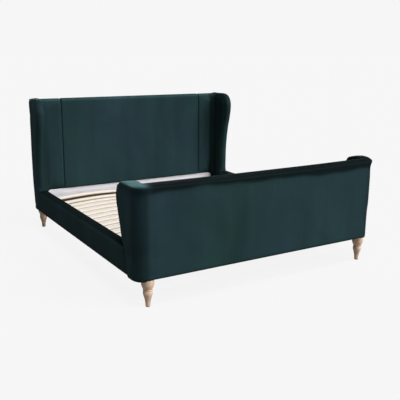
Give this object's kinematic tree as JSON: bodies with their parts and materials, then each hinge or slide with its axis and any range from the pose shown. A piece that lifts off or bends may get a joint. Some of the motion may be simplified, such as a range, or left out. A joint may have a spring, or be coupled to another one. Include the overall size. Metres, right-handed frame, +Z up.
{
  "type": "wingback bed",
  "caption": "Upholstered wingback bed for a 1800 x 2000 mm mattress: winged headboard, wrapped footboard with returns, side rails, sprung slats on a centre beam and turned wooden legs.",
  "frame": {"origin": "on the floor, at the centre of the bed's bounding box", "axes": "+Z up, +Y towards the headboard, +X to the right seen from the foot"},
  "size_m": [2, 2.2, 1.155],
  "materials": {
    "velvet": "short dark green velvet pile",
    "back_cloth": "plain dark green woven backing cloth",
    "lining": "white non-woven lining over thin foam",
    "leg_wood": "pale beech, washed grey-brown, satin",
    "slat_wood": "clear lacquered birch laminate",
    "frame_timber": "sawn softwood and plywood",
    "zinc_steel": "bright zinc plate",
    "painted_steel": "black powder coat",
    "plastic": "black moulded plastic"
  },
  "bodies": {
    "root": {"beam_hangers": "zinc_steel", "bracket_bolts": "zinc_steel", "centre_beam": "frame_timber", "centre_leg_caps": "plastic", "centre_legs": "painted_steel", "corner_brackets": "zinc_steel", "footboard_board": "frame_timber", "footboard_bottom_rail": "frame_timber", "footboard_cover": "velvet", "footboard_side_boards": "frame_timber", "headboard_back_panel": "back_cloth", "headboard_bottom_rail": "frame_timber", "headboard_centre_pad": "velvet", "headboard_cross_rails": "frame_timber", "headboard_face_board": "frame_timber", "headboard_lining": "lining", "headboard_posts": "frame_timber", "leg_bolts": "zinc_steel", "leg_foot_left": "leg_wood", "leg_foot_right": "leg_wood", "leg_glides": "plastic", "leg_head_left": "leg_wood", "leg_head_right": "leg_wood", "leg_plates": "zinc_steel", "side_rail_board_left": "frame_timber", "side_rail_board_right": "frame_timber", "side_rail_cover_left": "velvet", "side_rail_cover_right": "velvet", "slat_holders_centre": "plastic", "slat_holders_left": "plastic", "slat_holders_right": "plastic", "slat_ledge_left": "frame_timber", "slat_ledge_right": "frame_timber", "slats_left": "slat_wood", "slats_right": "slat_wood", "wing_former_left": "frame_timber", "wing_former_right": "frame_timber", "wing_pad_left": "velvet", "wing_pad_right": "velvet"},
    "levelling_foot_a": {"levelling_foot_a": "plastic"},
    "levelling_foot_b": {"levelling_foot_b": "plastic"},
    "levelling_foot_c": {"levelling_foot_c": "plastic"}
  },
  "joints": [
    {"name": "level_a", "type": "slide", "parent": "root", "child": "levelling_foot_a", "axis": [0, 0, 1], "range_m": [0, 0.012]},
    {"name": "level_b", "type": "slide", "parent": "root", "child": "levelling_foot_b", "axis": [0, 0, 1], "range_m": [0, 0.012]},
    {"name": "level_c", "type": "slide", "parent": "root", "child": "levelling_foot_c", "axis": [0, 0, 1], "range_m": [0, 0.012]}
  ]
}
